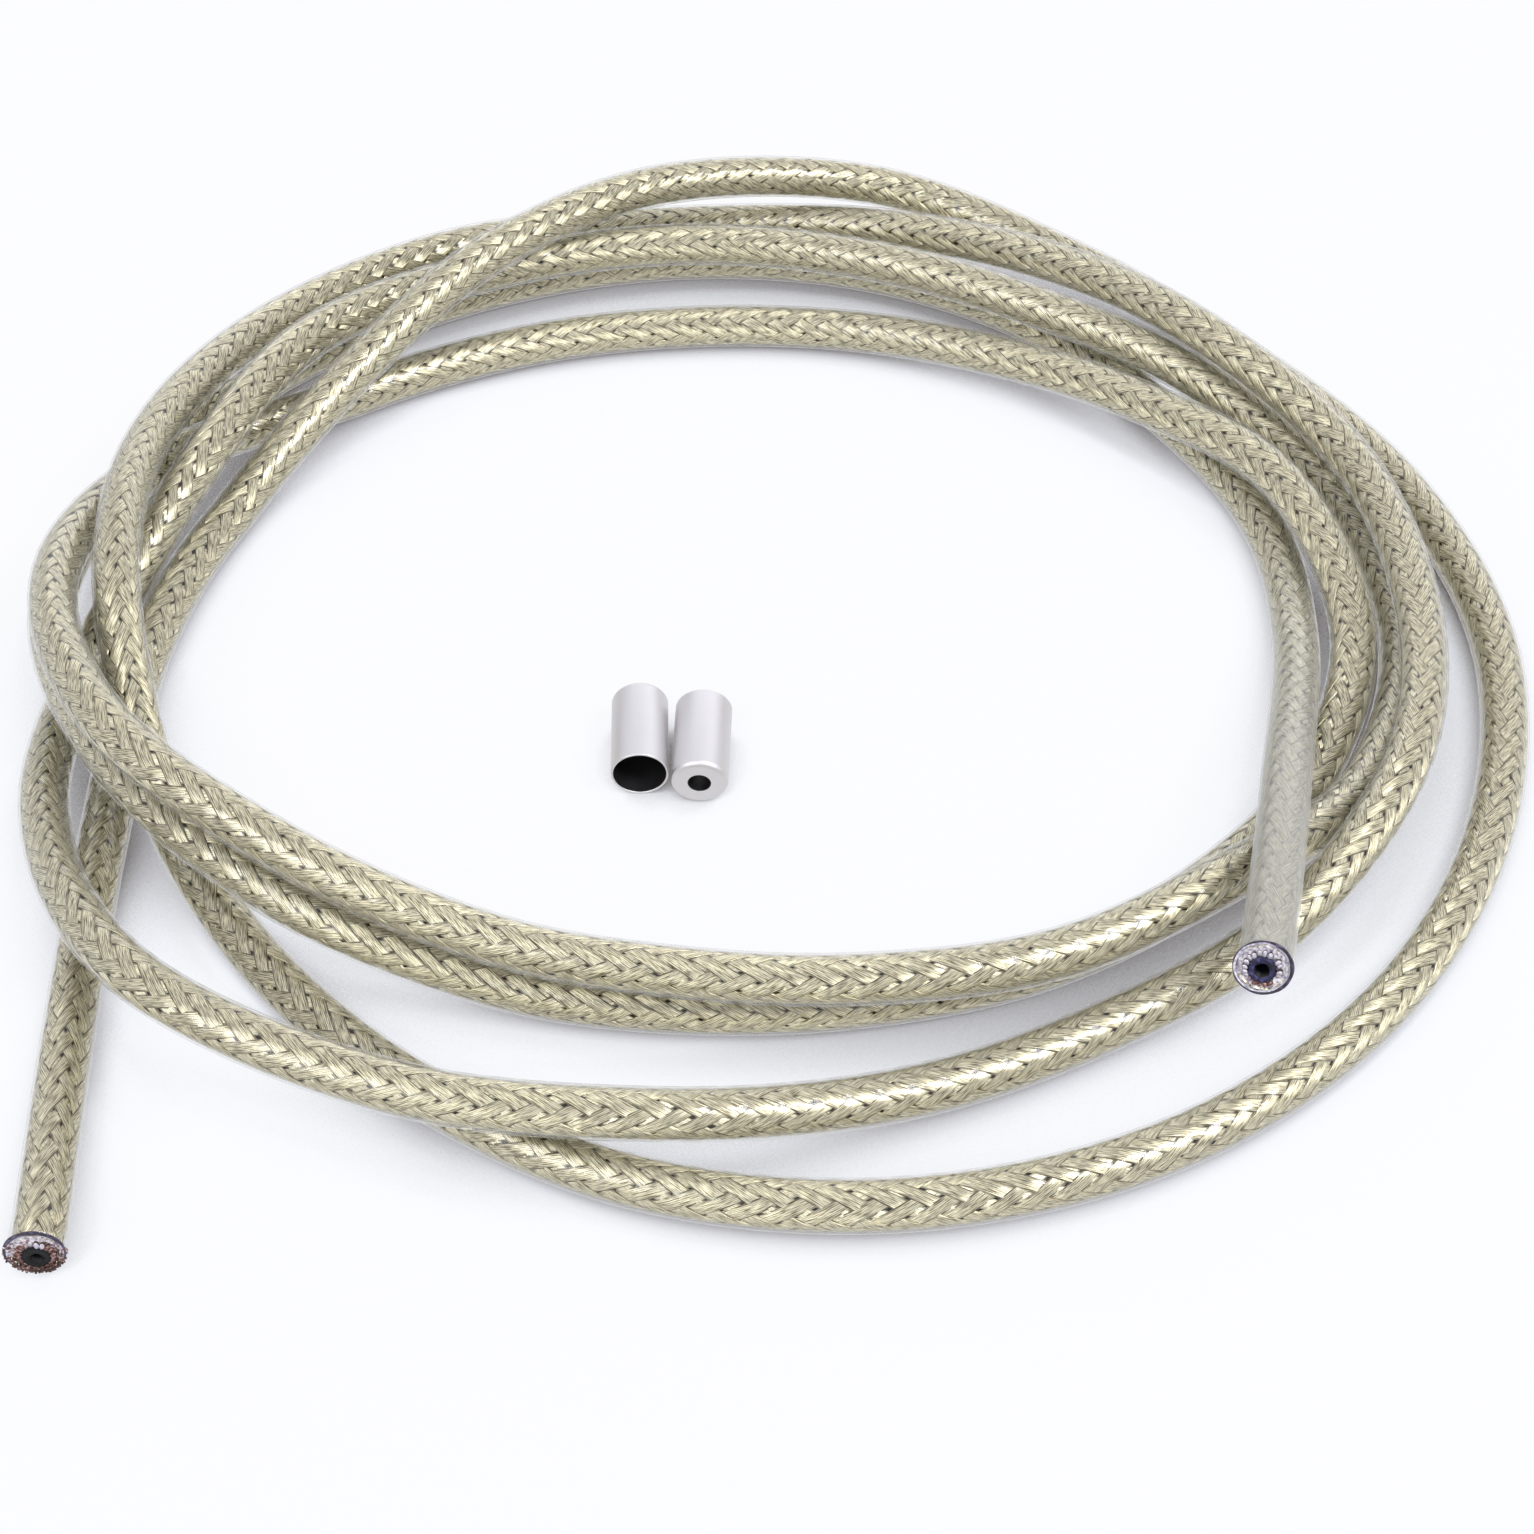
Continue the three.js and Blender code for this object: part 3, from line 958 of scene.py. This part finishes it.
stained_pulp, tree = new_material("stained filament pulp")
place = add_node(tree, "ShaderNodeTexCoord", {})
heights = add_node(tree, "ShaderNodeSeparateXYZ", {"Vector": place.outputs["Object"]})
clumps = add_node(tree, "ShaderNodeTexNoise", {
    "Scale": 1 / CLUMP_WIDTH, "Detail": 3.0, "Vector": place.outputs["Object"],
})
over_middle = add_node(tree, "ShaderNodeMapRange", {
    "From Min": STAIN_LOW, "From Max": STAIN_HIGH, "To Min": -STAIN_SHIFT, "To Max": STAIN_SHIFT,
    "Value": heights.outputs["Z"],
})
clean_share = add_node(tree, "ShaderNodeMath", {
    "operation": "ADD", 0: clumps.outputs["Fac"], 1: over_middle,
})
browns = add_node(tree, "ShaderNodeValToRGB", {
    "Fac": clean_share,
    "stops": [(0.36, "#3A2822"), (0.45, "#8A6258"), (0.53, "#BBA5A4"), (0.64, "#EFEBF4")],
})
pulp_shader = add_node(tree, "ShaderNodeBsdfPrincipled", {"Base Color": browns, "Roughness": 0.5})
add_node(tree, "ShaderNodeOutputMaterial", {"Surface": pulp_shader})
dress([braid_right, braid_left], [filament, pulp], "gold_braid", "braided_sleeve")
dress([first_filling], [pulp], "gold_braid")
dress([last_filling, fringe], [stained_pulp], "gold_braid")

# %% [markdown]
# ### Steel wire
# Hard-drawn spring wire is left with a brown film of drawing soap and oil, and its sides are also painted
# darker, as painted shade for the holes in the braid. Its sheared ends are bright, or brown where the
# film was dragged over them, so the end faces get materials of their own.

# %% Wire materials
FILM_AND_SHADE_PATCH = 0.4 * MM
SHEAR_GRAIN = MM / 6
# Brown oil film plus painted shade: the wire sides are darkened so the holes in the braid read dark
steel_film_and_painted_shade = patchy_material(
    "oiled spring steel wire with painted shade", FILM_AND_SHADE_PATCH, detail=2.0,
    stops=[(0.3, "#1E1509"), (0.7, "#4A3A22")],
    finish={"Roughness": 0.6, "Metallic": 0.2},
)
sheared_steel = patchy_material(
    "sheared spring steel", SHEAR_GRAIN, detail=3.0,
    stops=[(0.3, "#A79EAC"), (0.6, "#F1ECF5")],
    finish={"Roughness": 0.42, "Metallic": 0.5},
)
stained_steel = patchy_material(
    "sheared steel with old oil", SHEAR_GRAIN, detail=3.0,
    stops=[(0.35, "#4A2A26"), (0.5, "#8A5A50"), (0.65, "#C4A9A6")],
    finish={"Roughness": 0.5, "Metallic": 0.3},
)
dress([wires], [steel_film_and_painted_shade, sheared_steel, stained_steel], "wire_steel", "steel_wire_ring")

# %% [markdown]
# ### Dark liner
# The liner is low-friction plastic, nearly black with a blue cast. Its cut face is slightly uneven and
# paler, a dull blue violet.

# %% Liner materials
MOTTLE_WIDTH = 0.4 * MM
NIPPED_RELIEF = 0.03 * MM
dark_plastic = patchy_material(
    "dark low-friction plastic", MOTTLE_WIDTH, detail=3.0,
    stops=[(0.3, "#030306"), (0.7, "#0C0B12")],
    finish={"Roughness": 0.5, "IOR": 1.35},
)

cut_plastic, tree = new_material("nipped dark plastic")
place = add_node(tree, "ShaderNodeTexCoord", {})
mottle = add_node(tree, "ShaderNodeTexNoise", {
    "Scale": 1 / MOTTLE_WIDTH, "Detail": 3.0, "Vector": place.outputs["Object"],
})
shades = add_node(tree, "ShaderNodeValToRGB", {
    "Fac": mottle.outputs["Fac"], "stops": [(0.35, "#08061C"), (0.5, "#1A1644"), (0.66, "#4E4874")],
})
uneven = add_node(tree, "ShaderNodeBump", {
    "Strength": 0.4, "Distance": NIPPED_RELIEF, "Height": mottle.outputs["Fac"],
})
plastic = add_node(tree, "ShaderNodeBsdfPrincipled", {
    "Base Color": shades, "Roughness": 0.5, "IOR": 1.5, "Normal": uneven,
})
add_node(tree, "ShaderNodeOutputMaterial", {"Surface": plastic})
dress([liner], [dark_plastic, cut_plastic], "dark_liner", "inner_liner")

# %% [markdown]
# ### Nickel plate
# The ferrules are nickel-plated brass, tumbled smooth before plating, so the plate is bright but soft, and
# far from a mirror. A faint unevenness in its gloss keeps it from looking like chrome. The deep narrow
# socket and the hole are painted nearly black, as painted shade.

# %% Ferrule materials
TUMBLE_PATCH = MM / 0.9
SMOOTHEST = 0.42
ROUGHEST = 0.54
nickel, tree = new_material("tumbled nickel plate")
place = add_node(tree, "ShaderNodeTexCoord", {})
tumbled = add_node(tree, "ShaderNodeTexNoise", {
    "Scale": 1 / TUMBLE_PATCH, "Detail": 4.0, "Vector": place.outputs["Object"],
})
gloss = add_node(tree, "ShaderNodeMapRange", {
    "To Min": SMOOTHEST, "To Max": ROUGHEST, "Value": tumbled.outputs["Fac"],
})
plate = add_node(tree, "ShaderNodeBsdfPrincipled", {
    "Base Color": colour("#D8D6D7"), "Metallic": 1.0, "Roughness": gloss,
})
add_node(tree, "ShaderNodeOutputMaterial", {"Surface": plate})

# Painted shade: socket and hole faces coloured nearly black
socket_painted_shade = patchy_material(
    "socket with painted shade", TUMBLE_PATCH, detail=4.0,
    stops=[(0.3, "#050506"), (0.7, "#141317")],
    finish={"Roughness": 0.6},
)
dress([ferrule_left], [nickel, socket_painted_shade], "nickel_plate", "ferrule_left")
dress([ferrule_right], [nickel, socket_painted_shade], "nickel_plate", "ferrule_right")


# %% [markdown]
# ## Floor and light
# The coil lies on white paper in a light tent. The paper is overexposed, so to the camera, and in what
# gloss mirrors, most of its brightness is its own and only a small part takes the object's shadow. To the
# camera that glow carries painted shade: it turns blue close to a strand and dies away to dark brown
# between strands. The tent is a pale dome, brighter to look at than it is as a light. A lamp stands to the
# right in front, about 50 degrees up, a wide one to the left in front, and a wide panel behind the coil:
# they were placed where the glints on the strands point back to.

# %% Tell what is seen from what gathers light
def share_seen(tree):
    light_path = add_node(tree, "ShaderNodeLightPath", {})
    looked_at = add_node(tree, "ShaderNodeMath", {
        "operation": "MAXIMUM",
        0: light_path.outputs["Is Camera Ray"],
        1: light_path.outputs["Is Glossy Ray"],
    })
    return add_node(tree, "ShaderNodeMath", {
        "operation": "MAXIMUM", 0: looked_at, 1: light_path.outputs["Is Transmission Ray"],
    })


print("the share of what is seen is ready")

# %% Floor
FLOOR_SIZE = 3.0
PAPER_GLOW = 0.93
CONTACT_REACH = 9 * MM
CONTACT_SAMPLES = 4
floor_work = bmesh.new()
bmesh.ops.create_grid(floor_work, x_segments=1, y_segments=1, size=FLOOR_SIZE / 2)
floor = finish_piece(floor_work, "floor", smooth=False)
paper, tree = new_material("white paper")
glow_share = add_node(tree, "ShaderNodeMath", {
    "operation": "MULTIPLY", 0: share_seen(tree), 1: PAPER_GLOW,
})
light_path = add_node(tree, "ShaderNodeLightPath", {})
openness = add_node(tree, "ShaderNodeAmbientOcclusion", {
    "Distance": CONTACT_REACH, "samples": CONTACT_SAMPLES,
})
mirrored = add_node(tree, "ShaderNodeMath", {
    "operation": "SUBTRACT", 0: 1.0, 1: light_path.outputs["Is Camera Ray"],
})
openness_seen = add_node(tree, "ShaderNodeMath", {
    "operation": "MAXIMUM", 0: openness.outputs["AO"], 1: mirrored,
})
# Painted shade on the floor: by ambient occlusion the glow turns blue beside strands and dark brown between
# them
glow_painted_shade = add_node(tree, "ShaderNodeValToRGB", {
    "Fac": openness_seen,
    "stops": [(0.12, "#3E3424"), (0.24, "#A8A6AA"), (0.36, "#EEF2FD"), (0.55, "#F9FBFF"), (0.9, "#FEFEFF")],
})
glow = add_node(tree, "ShaderNodeEmission", {"Color": glow_painted_shade, "Strength": 1.0})
lit_paper = add_node(tree, "ShaderNodeBsdfPrincipled", {"Base Color": colour("#EEF2FF"), "Roughness": 0.9})
shown_paper = add_node(tree, "ShaderNodeMixShader", {"Fac": glow_share, 1: lit_paper, 2: glow})
add_node(tree, "ShaderNodeOutputMaterial", {"Surface": shown_paper})
floor.data.materials.append(paper)

# %% Light
TENT_LIGHT = 0.45
world = bpy.data.worlds.new("light_tent")
bpy.context.scene.world = world
world.use_nodes = True
world.node_tree.nodes.clear()
tree = world.node_tree
brightness = add_node(tree, "ShaderNodeMath", {
    "operation": "MULTIPLY_ADD", 0: share_seen(tree), 1: 1.0 - TENT_LIGHT, 2: TENT_LIGHT,
})
tent = add_node(tree, "ShaderNodeBackground", {"Color": colour("#F6F7FF"), "Strength": brightness})
add_node(tree, "ShaderNodeOutputWorld", {"Surface": tent})


def area_lamp(name, azimuth, elevation, away, size, watts):
    azimuth, elevation = math.radians(azimuth), math.radians(elevation)
    towards = Vector((
        math.cos(elevation) * math.cos(azimuth),
        math.cos(elevation) * math.sin(azimuth),
        math.sin(elevation),
    ))
    lamp = bpy.data.lights.new(name, "AREA")
    lamp.shape = "RECTANGLE"
    lamp.size, lamp.size_y = size
    lamp.energy = watts
    lamp_object = bpy.data.objects.new(name, lamp)
    lamp_object.location = towards * away
    lamp_object.rotation_euler = (-towards).to_track_quat("-Z", "Y").to_euler()
    bpy.context.scene.collection.objects.link(lamp_object)
    print(name, "at", [round(x, 2) for x in lamp_object.location])


area_lamp("softbox_right", azimuth=-30, elevation=52, away=0.7, size=(0.2, 0.28), watts=2.4)
area_lamp("softbox_left", azimuth=-132, elevation=42, away=0.8, size=(0.35, 0.45), watts=1.8)
area_lamp("panel_behind", azimuth=80, elevation=24, away=0.8, size=(1.0, 0.35), watts=1.0)
bpy.context.scene.view_settings.view_transform = "Standard"
